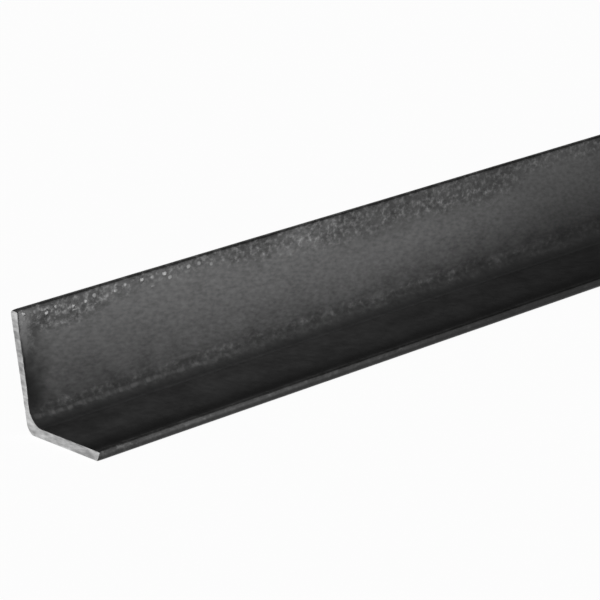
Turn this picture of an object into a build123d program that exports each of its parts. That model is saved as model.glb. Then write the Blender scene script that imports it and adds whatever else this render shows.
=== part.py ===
from build123d import *

import os

# A bar of hot-rolled equal-leg steel angle, cut square at both ends, in millimetres.
# It lies on one leg and runs along X, with the upright leg at +Y and the lying leg's toe at -Y.
# The origin is under the middle of the bar's length and of the lying leg's width.

# Driving dimensions
bar_length = 914.4  # 36 in, a length that this stock is sold in
lying_leg_width = 38.1  # 1-1/2 in, from the upright leg's outer face to the toe
upright_leg_height = 38.1  # 1-1/2 in, from the underside to the toe
leg_thickness = 3.175  # 1/8 in, the same in both legs
root_radius = 4.76  # 3/16 in, the concave fillet where the inner faces meet
heel_radius = 3.2  # the rolled outside corner
toe_outer_radius = 1.4  # the toe's corner on the leg's outer face, rounded by the rolls
toe_inner_radius = 0.4  # the toe's corner on the leg's inner face, left nearly sharp

# Where the section's faces lie, seen along the bar: Y across it and Z up
outer_y = lying_leg_width / 2
inner_y = outer_y - leg_thickness
toe_y = outer_y - lying_leg_width
inner_z = leg_thickness
toe_z = upright_leg_height


def sharp_section():
    """Two legs of one thickness that share the heel, before the rolls round any corner."""
    lying_leg = Rectangle(lying_leg_width, leg_thickness, align=(Align.MAX, Align.MIN))
    upright_leg = Rectangle(leg_thickness, upright_leg_height, align=(Align.MAX, Align.MIN))
    return Pos(outer_y, 0) * (lying_leg + upright_leg)


def round_corner(section, y, z, radius):
    """Rounds the section's corner at (y, z)."""
    corner = section.vertices().sort_by_distance((y, z, 0))[0]
    return fillet(corner, radius)


def rolled_section():
    """The section as the rolls leave it: filleted root, rounded heel and rounded toes."""
    section = sharp_section()
    section = round_corner(section, inner_y, inner_z, root_radius)
    section = round_corner(section, outer_y, 0, heel_radius)
    section = round_corner(section, toe_y, inner_z, toe_inner_radius)
    section = round_corner(section, toe_y, 0, toe_outer_radius)
    section = round_corner(section, inner_y, toe_z, toe_inner_radius)
    section = round_corner(section, outer_y, toe_z, toe_outer_radius)
    return section


def steel_angle():
    """The bar: the rolled section carried half the length each way from the middle."""
    return extrude(Plane.YZ * rolled_section(), bar_length / 2, both=True)


os.makedirs("parts", exist_ok=True)
export_step(steel_angle(), "parts/steel_angle.step")
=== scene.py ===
import math

import bmesh
import bpy
from mathutils import Matrix, Vector, noise


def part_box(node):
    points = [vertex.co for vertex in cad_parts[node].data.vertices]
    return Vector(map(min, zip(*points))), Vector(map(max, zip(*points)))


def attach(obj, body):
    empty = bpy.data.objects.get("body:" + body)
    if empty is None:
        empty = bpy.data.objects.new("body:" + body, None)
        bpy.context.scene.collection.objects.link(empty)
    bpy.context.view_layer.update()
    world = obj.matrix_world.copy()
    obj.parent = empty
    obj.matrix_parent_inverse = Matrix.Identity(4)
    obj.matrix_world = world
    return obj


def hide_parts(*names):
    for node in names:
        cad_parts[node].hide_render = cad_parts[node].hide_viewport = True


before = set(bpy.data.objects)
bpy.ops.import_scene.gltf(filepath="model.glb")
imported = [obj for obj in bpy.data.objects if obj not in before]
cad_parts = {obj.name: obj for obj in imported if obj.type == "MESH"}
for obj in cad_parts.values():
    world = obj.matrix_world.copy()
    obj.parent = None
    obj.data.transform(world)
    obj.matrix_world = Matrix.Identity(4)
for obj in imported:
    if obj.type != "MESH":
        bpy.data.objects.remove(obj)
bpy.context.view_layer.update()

# ---------------------------------------------------------------------------
# The bar: one length of equal-leg angle, hot-rolled in one piece from mild steel.
# Grooved rolls gave it a filleted root, a round heel and small toes while it was red hot,
# and a shear cropped its ends. It simply lies on one leg, with the other standing up.
# ---------------------------------------------------------------------------
mm = 0.001
leg_thickness = 3.175 * mm
root_radius = 4.76 * mm
heel_radius = 3.2 * mm
toe_outer_radius = 1.4 * mm
toe_inner_radius = 0.4 * mm

bar_low, bar_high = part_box("steel_angle")
half_length = bar_high.x
back_y, toe_y = bar_high.y, bar_low.y
floor_z, top_z = bar_low.z, bar_high.z
inner_y = back_y - leg_thickness
inner_z = floor_z + leg_thickness

# The sharp section, seen from the near end, drawn out to the bar's full length.
bar = bmesh.new()
outline = [
    (toe_y, floor_z),
    (toe_y, inner_z),
    (inner_y, inner_z),
    (inner_y, top_z),
    (back_y, top_z),
    (back_y, floor_z),
]
section = bar.faces.new([bar.verts.new((-half_length, y, z)) for y, z in outline])
drawn_out = bmesh.ops.extrude_face_region(bar, geom=[section])["geom"]
far_corners = [item for item in drawn_out if isinstance(item, bmesh.types.BMVert)]
bmesh.ops.translate(bar, verts=far_corners, vec=(2 * half_length, 0, 0))
bmesh.ops.recalc_face_normals(bar, faces=bar.faces[:])


def bevel(edges, offset, segments):
    """Bevels edges of the bar by an offset measured square from them."""
    bmesh.ops.bevel(bar, geom=edges, offset=offset, offset_type="OFFSET", segments=segments,
                    profile=0.5, affect="EDGES", clamp_overlap=False, material=-1)


same_place = 0.01 * mm


def round_edge(y, z, radius, segments):
    """Rounds the long edge that runs the length of the bar at (y, z)."""
    corner = Vector((y, z))
    bevel([e for e in bar.edges if all((v.co.yz - corner).length < same_place for v in e.verts)],
          radius, segments)


round_edge(inner_y, inner_z, root_radius, 8)
round_edge(back_y, floor_z, heel_radius, 6)
round_edge(back_y, top_z, toe_outer_radius, 4)
round_edge(toe_y, floor_z, toe_outer_radius, 4)
round_edge(inner_y, top_z, toe_inner_radius, 3)
round_edge(toe_y, inner_z, toe_inner_radius, 3)


def is_cut(face):
    """Whether a face is on one of the sheared ends."""
    return abs(face.normal.x) > 0.99


def lies_across(edge):
    """Whether an edge runs round the section and not along the bar."""
    return abs(edge.verts[0].co.x - edge.verts[1].co.x) < same_place


# The flats are divided across, to carry the waviness that the rolls leave.
skin_pitch = 1.35 * mm
for side in [f for f in bar.faces if not is_cut(f)]:
    across = [e for e in side.edges if lies_across(e)]
    cuts = round(across[0].calc_length() / skin_pitch) - 1
    if cuts > 0:
        bmesh.ops.subdivide_edges(bar, edges=across, cuts=cuts)

# How far round the section each of its corners is, from under the toe.
near_cut = min(bar.faces, key=lambda f: f.calc_center_median().x)
corners = [v.co.yz.copy() for v in near_cut.verts]
start = corners.index(min(corners, key=lambda c: (c.y > floor_z + same_place, c.x)))
corners = corners[start:] + corners[:start]
skin_width, distance_round = 0, []
for corner, following in zip(corners, corners[1:] + corners[:1]):
    distance_round.append((corner, skin_width))
    skin_width += (following - corner).length

# The cuts have a narrow worn edge, which the scale still covers.
worn_edge = 0.1 * mm
bevel([e for e in bar.edges if sum(is_cut(f) for f in e.link_faces) == 1], worn_edge, 1)
bar.normal_update()
scale_slot, cut_slot = 0, 1
for face in bar.faces:
    face.material_index = cut_slot if is_cut(face) else scale_slot

# A map of the skin, in metres: along the bar, and round the section.
skin = bar.loops.layers.uv.new("skin")
for side in [f for f in bar.faces if not is_cut(f)]:
    places = [min(distance_round, key=lambda known: (known[0] - v.co.yz).length)[1] for v in side.verts]
    wraps = max(places) - min(places) > skin_width / 2
    for loop, place in zip(side.loops, places):
        if wraps and place == 0:
            place = skin_width
        loop[skin].uv = (loop.vert.co.x, place)

# Rings near each end, closer together towards the cut, and then finer steps round them.
ring_distances = [0.3 * mm, 0.6 * mm, 1 * mm, 1.5 * mm, 2.1 * mm, 2.9 * mm, 4 * mm]
for end in (-1, 1):
    for ring_distance in ring_distances:
        bmesh.ops.bisect_plane(
            bar, geom=bar.verts[:] + bar.edges[:] + bar.faces[:], dist=0.001 * mm,
            plane_co=(end * (half_length - ring_distance), 0, 0), plane_no=(1, 0, 0))


def from_cut(vert):
    """How far a corner of the mesh is from the nearer end."""
    return half_length - abs(vert.co.x)


fine_reach = 3 * mm
end_edges = [
    e for e in bar.edges
    if lies_across(e) and from_cut(e.verts[0]) < fine_reach and e.calc_length() > skin_pitch / 2
]
bmesh.ops.subdivide_edges(bar, edges=end_edges, cuts=1, use_grid_fill=True)

# The cut faces are divided into small cells, to carry the relief of the torn metal.
cell = 0.8 * mm
for direction, low, high in ((Vector((0, 1, 0)), toe_y, back_y), (Vector((0, 0, 1)), floor_z, top_z)):
    for step in range(1, math.ceil((high - low) / cell)):
        cut_faces = [f for f in bar.faces if is_cut(f)]
        cut_edges = {e for f in cut_faces for e in f.edges}
        cut_verts = {v for f in cut_faces for v in f.verts}
        bmesh.ops.bisect_plane(
            bar, geom=[*cut_verts, *cut_edges, *cut_faces], dist=0.05 * mm,
            plane_co=direction * (low + step * cell), plane_no=direction)

# The long stretch between the rings is divided evenly.
ring_pitch = 1.5 * mm
long_edges = [e for e in bar.edges if e.calc_length() > half_length]
ring_cuts = round(long_edges[0].calc_length() / ring_pitch) - 1
bmesh.ops.subdivide_edges(bar, edges=long_edges, cuts=ring_cuts, use_grid_fill=True)

# A second map spreads the whole surface over one sheet, for a baked finish: the skin in three
# stretches, one above another, and the two cut faces beside them, drawn taller to fill it.
baked_finish = bar.loops.layers.uv.new("OFBake")
stretches = 3
stretch_length = 2 * half_length / stretches
spare = 2 * mm
cut_height = stretches * (skin_width + spare) / 2
sheet = Vector((stretch_length + back_y - toe_y + 3 * spare, 2 * cut_height))
for face in bar.faces:
    middle_x = face.calc_center_median().x
    stretch = min(int((middle_x + half_length) / stretch_length), stretches - 1)
    cut_foot = cut_height if middle_x > 0 else 0
    for loop in face.loops:
        if is_cut(face):
            place = Vector((stretch_length + 2 * spare + loop.vert.co.y - toe_y,
                            loop.vert.co.z / (top_z + spare) * cut_height + cut_foot))
        else:
            place = loop[skin].uv + Vector((half_length - stretch * stretch_length + spare / 2,
                                            stretch * (skin_width + spare) + spare / 2))
        loop[baked_finish].uv = (place.x / sheet.x, place.y / sheet.y)


def fades(distance, reach):
    """1 at no distance, and smoothly down to 0 at the reach."""
    return max(0, 1 - abs(distance) / reach) ** 2


# The rolls left long shallow waves and finer ripples. At each end the shear pressed the upright
# in beside the root and left a ragged lip on its inner edge, which grows towards a drooping top
# corner. On the lying leg's toe it drew a burr out above and rolled the corner over below.
wave_height = 0.04 * mm
ripple_height = 0.02 * mm
shear_reach = 4 * mm
hollow_depth = 0.7 * mm
hollow_level = 8.5 * mm
lip_foot = 17 * mm
lip_depth = 0.3 * mm
lip_raggedness = 0.5 * mm
lip_growth = 0.8 * mm
lip_bulge = 0.15 * mm
top_droop = 0.25 * mm
toe_burr = 1.4 * mm
toe_roll_over = 1.1 * mm
torn_relief = 0.08 * mm

bar.normal_update()
for vert in bar.verts:
    x, y, z = vert.co
    wave = wave_height * noise.noise(Vector((x / 60, y / 18, z / 18)) / mm)
    ripple = ripple_height * noise.noise(Vector((x / 12, y / 6, z / 6)) / mm)
    vert.co += vert.normal * (wave + ripple)
    cut_distance = from_cut(vert)
    if cut_distance < shear_reach:
        ragged = noise.noise(vert.co / (1.3 * mm))
        outward = math.copysign(1, x)
        hollow = fades(z - hollow_level, 12 * mm) * fades(cut_distance, shear_reach)
        vert.co.y += hollow_depth * hollow * fades(y - inner_y, 2.5 * mm)
        lip = fades(cut_distance, 0.8 * mm) * fades(y - inner_y, 1.2 * mm)
        lip *= min(max((z - lip_foot) / (5 * mm), 0), 1)
        vert.co.y -= lip * (lip_depth + lip_raggedness * ragged + lip_growth * fades(top_z - z, 9 * mm))
        vert.co.x += lip * lip_bulge * outward
        vert.co.z -= top_droop * fades(cut_distance, 1.2 * mm) * fades(top_z - z, 2.2 * mm)
        at_toe = fades(cut_distance, 1.5 * mm) * fades(y - toe_y, 1.5 * mm)
        vert.co.y -= toe_burr * at_toe * fades(z - inner_z, 2.4 * mm)
        vert.co.y += toe_roll_over * at_toe * fades(z - floor_z, 2.2 * mm)
        if cut_distance < worn_edge / 2:
            vert.co.x += torn_relief * ragged * outward
    vert.co.z = max(vert.co.z, floor_z)

bar_mesh = bpy.data.meshes.new("rolled_angle")
bar.to_mesh(bar_mesh)
bar.free()
bar_mesh.shade_smooth()
bar_mesh.set_sharp_from_angle(angle=math.radians(38))
rolled_angle = bpy.data.objects.new("rolled_angle", bar_mesh)
bpy.context.scene.collection.objects.link(rolled_angle)


def linear(hex_colour):
    """The linear colour of an sRGB hex value."""
    levels = [int(hex_colour[i:i + 2], 16) / 255 for i in (1, 3, 5)]
    return [c / 12.92 if c <= 0.04045 else ((c + 0.055) / 1.055) ** 2.4 for c in levels] + [1]


def add_node(tree, kind, inputs=None, **settings):
    """Adds a node with its settings. An input is a value, or a node or socket to link."""
    node = tree.nodes.new(kind)
    for name, value in settings.items():
        setattr(node, name, value)
    for socket, value in (inputs or {}).items():
        if isinstance(value, bpy.types.Node):
            value = value.outputs[0]
        if isinstance(value, bpy.types.NodeSocket):
            tree.links.new(value, node.inputs[socket])
        else:
            node.inputs[socket].default_value = value
    return node


def new_material(name):
    """An empty material, and the node tree that its finish is built in."""
    material = bpy.data.materials.new(name)
    material.use_nodes = True
    material.node_tree.nodes.clear()
    return material, material.node_tree


# Mill scale: the dark grey oxide skin that grows on steel while it is rolled red hot. It is
# smooth and a little glossy where it is thin, dull and dark where it is thick, and pitted
# where loose flakes of it were pressed in. Its tone also carries painted light and shade.
darkest_scale = "#2b2b2b"
lightest_scale = "#c8c8c8"
common_tone = 0.248

# By millimetres round the section from under the lying leg's toe: the scale's tone as a share
# of the common tone, with painted light and shade in it, how far along the bar it is darker
# beside the cuts, as a share of that darkening's reach, and how much of it flaked off beside the cuts.
tone_and_shade_round_section = [
    # The lying leg's toe. Its dark underside is painted shade, and its light inner corner a painted
    # highlight.
    (0, 0.10, 0, 0), (1.8, 0.10, 0, 0), (2.3, 0.18, 0, 0), (2.8, 0.54, 0, 0), (3.6, 0.48, 0, 0),
    (4.7, 0.66, 0, 0),
    # Its upper face.
    (5.6, 0.13, 0, 0), (7.2, 0.04, 0, 0), (9, 0.11, 0, 0), (12, 0.25, 0, 0), (16, 0.35, 0, 0),
    (20, 0.42, 0, 0), (31, 0.38, 0, 0), (32.6, 0.39, 0, 0),
    # The root's fillet, darkened with painted shade.
    (34.3, 0.24, 0, 0), (35.3, 0.15, 0, 0), (36.5, 0.21, 0.35, 0), (38.8, 0.39, 0.55, 0),
    (39.7, 0.38, 0.55, 0), (40.6, 0.48, 0.6, 0), (41.6, 0.72, 0.9, 0),
    # The upright leg's inner face, lightened low down with painted light.
    (42.4, 0.90, 1, 0), (43.1, 1.20, 1, 0), (45, 1.28, 1, 0), (50, 1.09, 0.86, 0),
    (57, 1, 0.97, 0.12), (65, 1, 1, 0.7), (70.4, 0.9, 0.75, 1),
    # Its toe, darkened with painted shade, and then the outer faces, which are all alike.
    (71.5, 0.57, 0, 0), (73.4, 0.60, 0, 0), (75.6, 1, 0, 0),
]
ramp_reach = 80
lying_middle = 19 * mm
fillet_middle = 37.7 * mm
root_seam = 38.9 * mm
ragged_middle = 39.5 * mm
dot_row = 68.6 * mm
upright_top = 72.5 * mm


def distance_from(tree, place, middle):
    """Adds the distance of a place from a middle, on either side of it."""
    offset = add_node(tree, "ShaderNodeMath", {0: place, 1: middle}, operation="SUBTRACT")
    return add_node(tree, "ShaderNodeMath", {0: offset}, operation="ABSOLUTE")


mill_scale, tree = new_material("mill_scale_on_hot_rolled_steel")
place = add_node(tree, "ShaderNodeTexCoord").outputs["Object"]
skin_map = add_node(tree, "ShaderNodeUVMap", uv_map="skin")
skin_place = add_node(tree, "ShaderNodeSeparateXYZ", {0: skin_map})
along, round_skin = skin_place.outputs["X"], skin_place.outputs["Y"]
to_cut = add_node(tree, "ShaderNodeMath", {0: along}, operation="ABSOLUTE")
to_cut = add_node(tree, "ShaderNodeMath", {0: half_length, 1: to_cut}, operation="SUBTRACT")

# Grain of about a millimetre, drawn out by the rolls and slanting a little. Across the lying
# leg, which is mostly seen edge on, it is drawn coarser so that it still shows. Blotches of
# some millimetres, where the scale grew thicker or thinner, lie over it.
grain_place = add_node(tree, "ShaderNodeMapping", {
    "Vector": place, "Rotation": (0, math.radians(12), 0), "Scale": (1.8 * mm, 3 * mm, 1 * mm)},
    vector_type="TEXTURE")
grain = add_node(tree, "ShaderNodeTexNoise", {
    "Vector": grain_place, "Scale": 1, "Detail": 2}, normalize=False)
blotch = add_node(tree, "ShaderNodeTexNoise", {
    "Vector": place, "Scale": 1 / (7 * mm), "Detail": 2}, normalize=False)

# Loose scale was pressed in and left pits a millimetre or two wide: in patches beside the
# upright leg's toe, in the root, and faintly on the lying leg's toe, where it was scuffed.
# The shear crushed the scale beside the cuts and deepened them. A pit's light rim shows more
# than its dark floor. Here and below, an offset into a noise picks the stretch of it that the
# bar shows.
pit_place = add_node(tree, "ShaderNodeMapping", {
    "Vector": place, "Scale": (2 * mm, 1.75 * mm, 1.75 * mm)}, vector_type="TEXTURE")
pits = add_node(tree, "ShaderNodeTexNoise", {
    "Vector": pit_place, "Scale": 1, "Detail": 3, "Roughness": 0.6}, normalize=False)
patch_place = add_node(tree, "ShaderNodeMapping", {
    "Vector": place, "Location": (3.9, 42.1, 5.9),
    "Scale": (1 / (40 * mm), 1 / (40 * mm), 1 / (40 * mm))})
patch = add_node(tree, "ShaderNodeTexNoise", {
    "Vector": patch_place, "Scale": 1, "Detail": 1}, normalize=False)
from_top = add_node(tree, "ShaderNodeMath", {
    0: patch, 1: -5.5 * mm, 2: distance_from(tree, round_skin, upright_top)}, operation="MULTIPLY_ADD")
pressed_in = add_node(tree, "ShaderNodeMapRange", {
    "Value": from_top, "From Min": 11 * mm, "From Max": 4 * mm, "To Max": 0.235},
    interpolation_type="SMOOTHSTEP")
wandering = add_node(tree, "ShaderNodeMath", {
    0: blotch, 1: 0.8 * mm, 2: round_skin}, operation="MULTIPLY_ADD")
from_crust = distance_from(tree, wandering, root_seam + 1.5 * mm)
crust = add_node(tree, "ShaderNodeMapRange", {
    "Value": from_crust, "From Min": 3.8 * mm, "From Max": 1 * mm, "To Max": 0.085},
    interpolation_type="SMOOTHSTEP")
pit_depth = add_node(tree, "ShaderNodeMath", {0: pressed_in, 1: crust}, operation="MAXIMUM")
scuffed_toe = add_node(tree, "ShaderNodeMapRange", {
    "Value": round_skin, "From Min": 6 * mm, "From Max": 5 * mm, "To Max": 0.1})
pit_depth = add_node(tree, "ShaderNodeMath", {0: pit_depth, 1: scuffed_toe}, operation="MAXIMUM")
pitting = add_node(tree, "ShaderNodeMath", {0: pits, 1: 1.3, 2: 1.15}, operation="MULTIPLY_ADD")
pitting = add_node(tree, "ShaderNodeMath", {0: pitting, 1: pits}, operation="MULTIPLY")
pitting = add_node(tree, "ShaderNodeMath", {0: blotch, 1: 0.25, 2: pitting}, operation="MULTIPLY_ADD")
crushed = add_node(tree, "ShaderNodeMapRange", {
    "Value": to_cut, "From Min": 24 * mm, "From Max": 12 * mm, "To Min": 1, "To Max": 1.6})
pit_depth = add_node(tree, "ShaderNodeMath", {0: pit_depth, 1: crushed}, operation="MULTIPLY")
pitting = add_node(tree, "ShaderNodeMath", {0: pitting, 1: pit_depth}, operation="MULTIPLY")

# A row of bright dots below the upright leg's toe, one in each cell: small bumps whose glint is a
# painted highlight in their colour. A broken seam runs along the root. Both come and go along the bar.
vigour_place = add_node(tree, "ShaderNodeMath", {
    0: along, 1: 1 / (160 * mm), 2: 7.3}, operation="MULTIPLY_ADD")
vigour = add_node(tree, "ShaderNodeTexNoise", {
    "W": vigour_place, "Scale": 1, "Detail": 0}, noise_dimensions="1D", normalize=False)
vigour = add_node(tree, "ShaderNodeMapRange", {
    "Value": vigour, "From Min": 0.02, "From Max": 0.22, "To Min": 0.1, "To Max": 1})
dot_pitch = 3.4 * mm
dot_cells_start = dot_row - 0.27 * dot_pitch
dot_place = add_node(tree, "ShaderNodeMapping", {
    "Vector": skin_map, "Location": (0, dot_cells_start, 0),
    "Scale": (dot_pitch, dot_pitch, 1)}, vector_type="TEXTURE")
dot_centre = add_node(tree, "ShaderNodeTexVoronoi", {
    "Vector": dot_place, "Scale": 1, "Randomness": 0.75}, voronoi_dimensions="2D")
from_dot = add_node(tree, "ShaderNodeMath", {0: pits, 1: 0.12, 2: dot_centre}, operation="MULTIPLY_ADD")
glinting_dot = add_node(tree, "ShaderNodeMapRange", {
    "Value": from_dot, "From Min": 0.23, "From Max": 0.08, "To Max": 0.95}, interpolation_type="SMOOTHSTEP")
row = add_node(tree, "ShaderNodeMapRange", {
    "Value": distance_from(tree, round_skin, dot_row), "From Min": 2.2 * mm, "From Max": 1.6 * mm})
glinting_dot = add_node(tree, "ShaderNodeMath", {0: glinting_dot, 1: row}, operation="MULTIPLY")
dot_strength = add_node(tree, "ShaderNodeTexNoise", {
    "W": along, "Scale": 1 / (4 * mm), "Detail": 1}, noise_dimensions="1D", normalize=False)
dot_strength = add_node(tree, "ShaderNodeMapRange", {
    "Value": dot_strength, "From Min": -0.4, "From Max": 0.25, "To Max": 1})
glinting_dot = add_node(tree, "ShaderNodeMath", {0: glinting_dot, 1: dot_strength}, operation="MULTIPLY")
glinting_dot = add_node(tree, "ShaderNodeMath", {0: glinting_dot, 1: vigour}, operation="MULTIPLY")
seam_line = add_node(tree, "ShaderNodeMapRange", {
    "Value": distance_from(tree, wandering, root_seam), "From Min": 1 * mm, "From Max": 0.15 * mm},
    interpolation_type="SMOOTHSTEP")
dash = add_node(tree, "ShaderNodeTexNoise", {
    "W": along, "Scale": 1 / (2.8 * mm), "Detail": 1}, noise_dimensions="1D", normalize=False)
dash = add_node(tree, "ShaderNodeMapRange", {
    "Value": dash, "From Min": -0.1, "From Max": 0.2, "To Min": 0.09, "To Max": 0.33})
seam_line = add_node(tree, "ShaderNodeMath", {0: seam_line, 1: dash}, operation="MULTIPLY")
seam_line = add_node(tree, "ShaderNodeMath", {0: seam_line, 1: vigour}, operation="MULTIPLY")

# The common tone, with the grain, blotches, pits, dots with their painted glints, and seam on it.
tone = add_node(tree, "ShaderNodeMath", {0: grain, 1: 0.07, 2: common_tone}, operation="MULTIPLY_ADD")
tone = add_node(tree, "ShaderNodeMath", {0: blotch, 1: 0.04, 2: tone}, operation="MULTIPLY_ADD")
tone = add_node(tree, "ShaderNodeMath", {0: tone, 1: pitting}, operation="ADD")
tone = add_node(tree, "ShaderNodeMath", {0: glinting_dot, 1: tone}, operation="ADD")
tone = add_node(tree, "ShaderNodeMath", {0: seam_line, 1: tone}, operation="ADD")

# Soft dark stains, on the upper part of the upright leg and on the outer faces.
stain_place = add_node(tree, "ShaderNodeMapping", {
    "Vector": place, "Location": (42, 31.1, 21), "Scale": (1 / (40 * mm), 1 / (20 * mm), 1 / (20 * mm))})
stain = add_node(tree, "ShaderNodeTexNoise", {
    "Vector": stain_place, "Scale": 1, "Detail": 0}, normalize=False)
stain = add_node(tree, "ShaderNodeMapRange", {
    "Value": stain, "From Min": 0.15, "From Max": -0.85, "To Max": 0.58})
upper_part = add_node(tree, "ShaderNodeMapRange", {
    "Value": round_skin, "From Min": 57 * mm, "From Max": 62 * mm})
stain = add_node(tree, "ShaderNodeMath", {0: stain, 1: upper_part}, operation="MULTIPLY")
clean = add_node(tree, "ShaderNodeMath", {0: 1, 1: stain}, operation="SUBTRACT")
tone = add_node(tree, "ShaderNodeMath", {0: tone, 1: clean}, operation="MULTIPLY")

# The tone drifts along the bar in a slow noise, placed so that it also paints the light falling off away from
# the near end: painted shade.
drift_and_falloff_place = add_node(tree, "ShaderNodeMapping", {
    "Vector": place, "Location": (56.4, 2.6, 20.7),
    "Scale": (1 / (260 * mm), 1 / (60 * mm), 1 / (60 * mm))})
drift_and_falloff = add_node(tree, "ShaderNodeTexNoise", {
    "Vector": drift_and_falloff_place, "Scale": 1, "Detail": 1}, normalize=False)
drift_and_falloff = add_node(tree, "ShaderNodeMapRange", {
    "Value": drift_and_falloff, "From Min": -0.6, "From Max": 0.25, "To Min": 0.5, "To Max": 1.35})
tone = add_node(tree, "ShaderNodeMath", {0: tone, 1: drift_and_falloff}, operation="MULTIPLY")

# The tones round the section, with their painted light and shade. Noise shifts their place in
# the root, where the dark of the lying leg ends in a ragged edge.
from_root = distance_from(tree, round_skin, ragged_middle)
ragged_root = add_node(tree, "ShaderNodeMapRange", {
    "Value": from_root, "From Min": 3.3 * mm, "From Max": 1.5 * mm, "To Max": 0.68 * mm},
    interpolation_type="SMOOTHSTEP")
root_shift = add_node(tree, "ShaderNodeMath", {0: blotch, 1: 2, 2: pits}, operation="MULTIPLY_ADD")
ramp_place = add_node(tree, "ShaderNodeMath", {
    0: root_shift, 1: ragged_root, 2: round_skin}, operation="MULTIPLY_ADD")
ramp_place = add_node(tree, "ShaderNodeMath", {0: ramp_place, 1: ramp_reach * mm}, operation="DIVIDE")
ramp = add_node(tree, "ShaderNodeValToRGB", {0: ramp_place})
# A new ramp has two stops of its own and can't be without one, so the first of them goes last.
stops = ramp.color_ramp.elements
stops.remove(stops[1])
for distance, share, darker_by_cut, flaked in tone_and_shade_round_section:
    stop = stops.new(distance / ramp_reach)
    stop.color = (share, darker_by_cut, flaked, 1)
stops.remove(stops[0])
round_section = add_node(tree, "ShaderNodeSeparateColor", {0: ramp})
tone = add_node(tree, "ShaderNodeMath", {0: tone, 1: round_section.outputs["Red"]}, operation="MULTIPLY")

# A dark streak beside the lying leg's toe wanders and fades along the bar, and the half of the leg
# around it dims with it. Where they fade, the toe is darker instead: painted shade.
darkening_along_bar_place = add_node(tree, "ShaderNodeMath", {
    0: along, 1: 1 / (240 * mm), 2: 29.6}, operation="MULTIPLY_ADD")
darkening_along_bar = add_node(tree, "ShaderNodeTexNoise", {
    "W": darkening_along_bar_place, "Scale": 1, "Detail": 0}, noise_dimensions="1D", normalize=False)
streak_middle = 8.9 * mm
wandering = add_node(tree, "ShaderNodeMath", {
    0: darkening_along_bar, 1: -3.7 * mm, 2: round_skin}, operation="MULTIPLY_ADD")
from_streak = distance_from(tree, wandering, streak_middle)
streak = add_node(tree, "ShaderNodeMapRange", {
    "Value": from_streak, "From Min": 6 * mm, "From Max": 0, "To Max": 0.75}, interpolation_type="SMOOTHSTEP")
streak_strength = add_node(tree, "ShaderNodeMath", {
    0: darkening_along_bar, 1: 0.85, 2: 0.15}, operation="MULTIPLY_ADD", use_clamp=True)
dim_leg = add_node(tree, "ShaderNodeMapRange", {
    "Value": round_skin, "From Min": 32 * mm, "From Max": 20 * mm, "To Max": 0.3})
streak = add_node(tree, "ShaderNodeMath", {0: streak, 1: dim_leg}, operation="MAXIMUM")
streak = add_node(tree, "ShaderNodeMath", {0: streak, 1: streak_strength}, operation="MULTIPLY")
shaded_toe = add_node(tree, "ShaderNodeMapRange", {
    "Value": round_skin, "From Min": 5 * mm, "From Max": 4 * mm})
toe_shade_strength = add_node(tree, "ShaderNodeMapRange", {
    "Value": darkening_along_bar, "From Min": 0.3, "From Max": -0.45, "To Max": 0.66})
darkened = add_node(tree, "ShaderNodeMath", {0: shaded_toe, 1: toe_shade_strength, 2: streak}, operation="MULTIPLY_ADD")
kept = add_node(tree, "ShaderNodeMath", {0: 1, 1: darkened}, operation="SUBTRACT")
tone = add_node(tree, "ShaderNodeMath", {0: tone, 1: kept}, operation="MULTIPLY")

# The upright leg is darker beside each cut, and right at the cut the scale on its upper part
# flaked off and left brighter metal.
cut_darkening_reach = 12 * mm
cut_darkening_edge = add_node(tree, "ShaderNodeMath", {0: blotch, 1: 2 * mm, 2: to_cut}, operation="MULTIPLY_ADD")
cut_darkening_edge = add_node(tree, "ShaderNodeMath", {
    0: round_section.outputs["Green"], 1: -cut_darkening_reach, 2: cut_darkening_edge}, operation="MULTIPLY_ADD")
darker_by_cut = add_node(tree, "ShaderNodeMapRange", {
    "Value": cut_darkening_edge, "From Min": -0.5 * mm, "From Max": -cut_darkening_reach, "To Max": 0.9},
    interpolation_type="SMOOTHSTEP")
undarkened = add_node(tree, "ShaderNodeMath", {0: 1, 1: darker_by_cut}, operation="SUBTRACT")
cut_darkened_tone = add_node(tree, "ShaderNodeMath", {0: tone, 1: undarkened}, operation="MULTIPLY")
flake_edge = add_node(tree, "ShaderNodeMath", {0: pits, 1: 2 * mm, 2: to_cut}, operation="MULTIPLY_ADD")
flaked = add_node(tree, "ShaderNodeMapRange", {
    "Value": flake_edge, "From Min": 5.5 * mm, "From Max": 1.5 * mm}, interpolation_type="SMOOTHSTEP")
flaked = add_node(tree, "ShaderNodeMath", {0: flaked, 1: round_section.outputs["Blue"]}, operation="MULTIPLY")
flaked_tone = add_node(tree, "ShaderNodeMath", {0: tone, 1: 0.6, 2: 0.34}, operation="MULTIPLY_ADD")
tone = add_node(tree, "ShaderNodeMix", {0: flaked, 2: cut_darkened_tone, 3: flaked_tone})

# The tone sets the colour. A Mix node takes its two colours in sockets 6 and 7, and gives them
# from its output 2. The grain, pits, dots and seam also stand up or sink a little.
colour = add_node(tree, "ShaderNodeMix", {
    0: tone, 6: linear(darkest_scale), 7: linear(lightest_scale)}, data_type="RGBA").outputs[2]
height = add_node(tree, "ShaderNodeMath", {0: grain, 1: 0.06, 2: pitting}, operation="MULTIPLY_ADD")
height = add_node(tree, "ShaderNodeMath", {0: height, 1: glinting_dot}, operation="ADD")
height = add_node(tree, "ShaderNodeMath", {0: height, 1: seam_line}, operation="ADD")
bump = add_node(tree, "ShaderNodeBump", {"Height": height, "Distance": 0.18 * mm})

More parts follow.
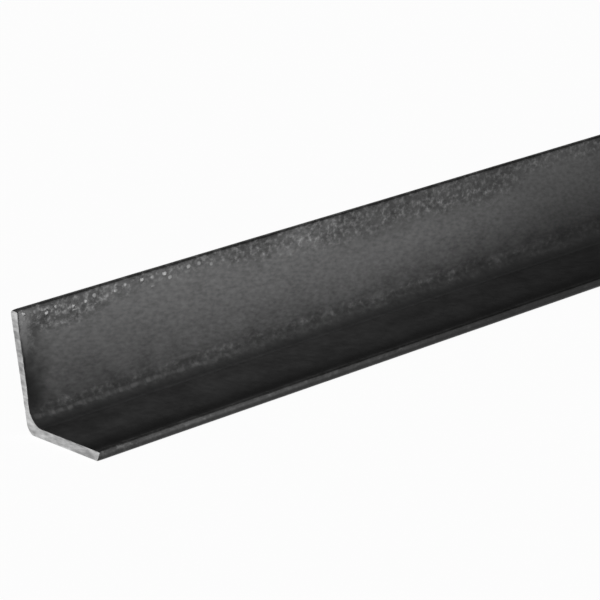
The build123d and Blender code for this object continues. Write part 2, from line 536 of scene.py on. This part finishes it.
# Thin scale has a slight sheen. In the root, where the rolls hardly burnished it, the scale is
# thick and stays matt, so that its fillet shows no bright line. The lying leg is duller too.
sheen = add_node(tree, "ShaderNodeMapRange", {
    "Value": blotch, "From Min": -0.5, "From Max": 0.5, "To Min": 0.42, "To Max": 0.48})
from_fillet = distance_from(tree, round_skin, fillet_middle)
matt_root = add_node(tree, "ShaderNodeMapRange", {
    "Value": from_fillet, "From Min": 6 * mm, "From Max": 3 * mm, "To Max": 0.38},
    interpolation_type="SMOOTHSTEP")
from_lying = distance_from(tree, round_skin, lying_middle)
matt_lying = add_node(tree, "ShaderNodeMapRange", {
    "Value": from_lying, "From Min": 15 * mm, "From Max": 13 * mm, "To Max": 0.17},
    interpolation_type="SMOOTHSTEP")
mattness = add_node(tree, "ShaderNodeMath", {0: matt_root, 1: matt_lying}, operation="MAXIMUM")
roughness = add_node(tree, "ShaderNodeMath", {0: sheen, 1: mattness}, operation="ADD")
scale_shader = add_node(tree, "ShaderNodeBsdfPrincipled", {
    "Base Color": colour, "Metallic": 1, "Roughness": roughness, "Normal": bump})
add_node(tree, "ShaderNodeOutputMaterial", {"Surface": scale_shader})

# Sheared mild steel: bare bright metal, a little lighter where the blade went in and burnished
# it. It is torn in short ridges that lie flat, with broader smears across them.
dullest_cut = "#8c8c8c"
brightest_cut = "#d6d6d6"
cut_steel, tree = new_material("sheared_mild_steel")
place = add_node(tree, "ShaderNodeTexCoord").outputs["Object"]
cut_place = add_node(tree, "ShaderNodeSeparateXYZ", {0: place})
through_upright = add_node(tree, "ShaderNodeMath", {
    0: cut_place.outputs["Y"], 1: inner_y}, operation="SUBTRACT")
through_lying = add_node(tree, "ShaderNodeMath", {
    0: inner_z, 1: cut_place.outputs["Z"]}, operation="SUBTRACT")
through = add_node(tree, "ShaderNodeMath", {0: through_upright, 1: through_lying}, operation="MAXIMUM")
torn_place = add_node(tree, "ShaderNodeMapping", {
    "Vector": place, "Scale": (2 * mm, 4.5 * mm, 1.2 * mm)}, vector_type="TEXTURE")
torn = add_node(tree, "ShaderNodeTexNoise", {
    "Vector": torn_place, "Scale": 1, "Detail": 2}, normalize=False)
smear_place = add_node(tree, "ShaderNodeMapping", {
    "Vector": place, "Location": (20.3, 86.7, 16.8), "Scale": (1 / (9 * mm), 1 / (9 * mm), 1 / (9 * mm))})
smear = add_node(tree, "ShaderNodeTexNoise", {
    "Vector": smear_place, "Scale": 1, "Detail": 2}, normalize=False)
through = add_node(tree, "ShaderNodeMath", {0: torn, 1: 0.6 * mm, 2: through}, operation="MULTIPLY_ADD")
burnished = add_node(tree, "ShaderNodeMapRange", {
    "Value": through, "From Min": 1.5 * mm, "From Max": 1.1 * mm, "To Min": 0.5, "To Max": 0.62})
cut_tone = add_node(tree, "ShaderNodeMath", {0: smear, 1: 0.42, 2: burnished}, operation="MULTIPLY_ADD")
cut_tone = add_node(tree, "ShaderNodeMath", {0: torn, 1: 0.5, 2: cut_tone}, operation="MULTIPLY_ADD")
cut_colour = add_node(tree, "ShaderNodeMix", {
    0: cut_tone, 6: linear(dullest_cut), 7: linear(brightest_cut)}, data_type="RGBA").outputs[2]
cut_bump = add_node(tree, "ShaderNodeBump", {"Height": torn, "Distance": 0.1 * mm})
cut_shader = add_node(tree, "ShaderNodeBsdfPrincipled", {
    "Base Color": cut_colour, "Metallic": 1, "Roughness": 0.5, "Normal": cut_bump})
add_node(tree, "ShaderNodeOutputMaterial", {"Surface": cut_shader})

bar_mesh.materials.append(mill_scale)
bar_mesh.materials.append(cut_steel)

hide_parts("steel_angle")
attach(rolled_angle, "root")

# ---------------------------------------------------------------------------
# The floor: a sheet of matt pale board that the bar lies on. It is so wide that its far edge
# meets the studio's pale horizon, and it lies a hair below the bar so that the two don't touch.
# ---------------------------------------------------------------------------
floor_half_width = 40_000 * mm
floor_gap = 0.02 * mm
board = bmesh.new()
bmesh.ops.create_grid(board, x_segments=1, y_segments=1, size=floor_half_width)
bmesh.ops.translate(board, verts=board.verts[:], vec=(0, 0, floor_z - floor_gap))
floor_mesh = bpy.data.meshes.new("floor")
board.to_mesh(floor_mesh)
board.free()
floor = bpy.data.objects.new("floor", floor_mesh)
bpy.context.scene.collection.objects.link(floor)

# Painted board: seen directly or in a reflection it is nearly plain white, and it keeps a
# soft shadow.
pale_board, tree = new_material("matt_pale_board")
light_path = add_node(tree, "ShaderNodeLightPath")
seen = add_node(tree, "ShaderNodeMath", {
    0: light_path.outputs["Is Camera Ray"], 1: light_path.outputs["Is Glossy Ray"]}, operation="ADD")
seen = add_node(tree, "ShaderNodeMath", {
    0: seen, 1: light_path.outputs["Is Transmission Ray"]}, operation="ADD", use_clamp=True)
glow_share = add_node(tree, "ShaderNodeMath", {0: seen, 1: 0.9}, operation="MULTIPLY")
matt_paint = add_node(tree, "ShaderNodeBsdfDiffuse", {"Color": linear("#f6f6f6")})
plain_white = add_node(tree, "ShaderNodeEmission", {"Color": linear("#ffffff"), "Strength": 1})
board_shader = add_node(tree, "ShaderNodeMixShader", {0: glow_share, 1: matt_paint, 2: plain_white})
add_node(tree, "ShaderNodeOutputMaterial", {"Surface": board_shader})
floor_mesh.materials.append(pale_board)

# ---------------------------------------------------------------------------
# The light: one wide soft lamp, from the front left and above, in a plain studio. Its walls are
# pale at the floor's level and darken towards the ceiling.
# ---------------------------------------------------------------------------
key_direction = Vector((1, 1, -1))
key_lamp = bpy.data.lights.new("key", "SUN")
key_lamp.energy = 3.8
key_lamp.angle = math.radians(30)
key = bpy.data.objects.new("key", key_lamp)
key.rotation_euler = key_direction.to_track_quat("-Z", "Y").to_euler()
bpy.context.scene.collection.objects.link(key)

studio = bpy.data.worlds.new("studio")
studio.use_nodes = True
tree = studio.node_tree
tree.nodes.clear()
direction = add_node(tree, "ShaderNodeTexCoord").outputs["Generated"]
upward = add_node(tree, "ShaderNodeSeparateXYZ", {0: direction}).outputs["Z"]
wall_foot = math.sin(math.radians(4.5))
wall_top = math.sin(math.radians(9))
wall = add_node(tree, "ShaderNodeMapRange", {
    "Value": upward, "From Min": wall_foot, "From Max": wall_top, "To Min": 0.97, "To Max": 0.12},
    interpolation_type="SMOOTHSTEP")
sky = add_node(tree, "ShaderNodeBackground", {"Color": linear("#ffffff"), "Strength": wall})
add_node(tree, "ShaderNodeOutputWorld", {"Surface": sky})
bpy.context.scene.world = studio
bpy.context.scene.view_settings.view_transform = "Standard"

# ---------------------------------------------------------------------------
# The camera: a long lens that looks down on the near end from the front left. It is turned a
# little about its own axis.
# ---------------------------------------------------------------------------
camera_data = bpy.data.cameras.new("camera")
camera_data.lens = 143.89
camera_data.sensor_width = 36
camera = bpy.data.objects.new("camera", camera_data)
heading = math.radians(35.93)
down = math.radians(16.43)
roll = math.radians(-6.21)
aim = Matrix.Rotation(-heading, 3, "Z") @ Matrix.Rotation(math.pi / 2 - down, 3, "X")
camera.rotation_euler = (aim @ Matrix.Rotation(roll, 3, "Z")).to_euler()
camera.location = (-0.77772, -0.56436, 0.22621)
bpy.context.scene.collection.objects.link(camera)
bpy.context.scene.camera = camera
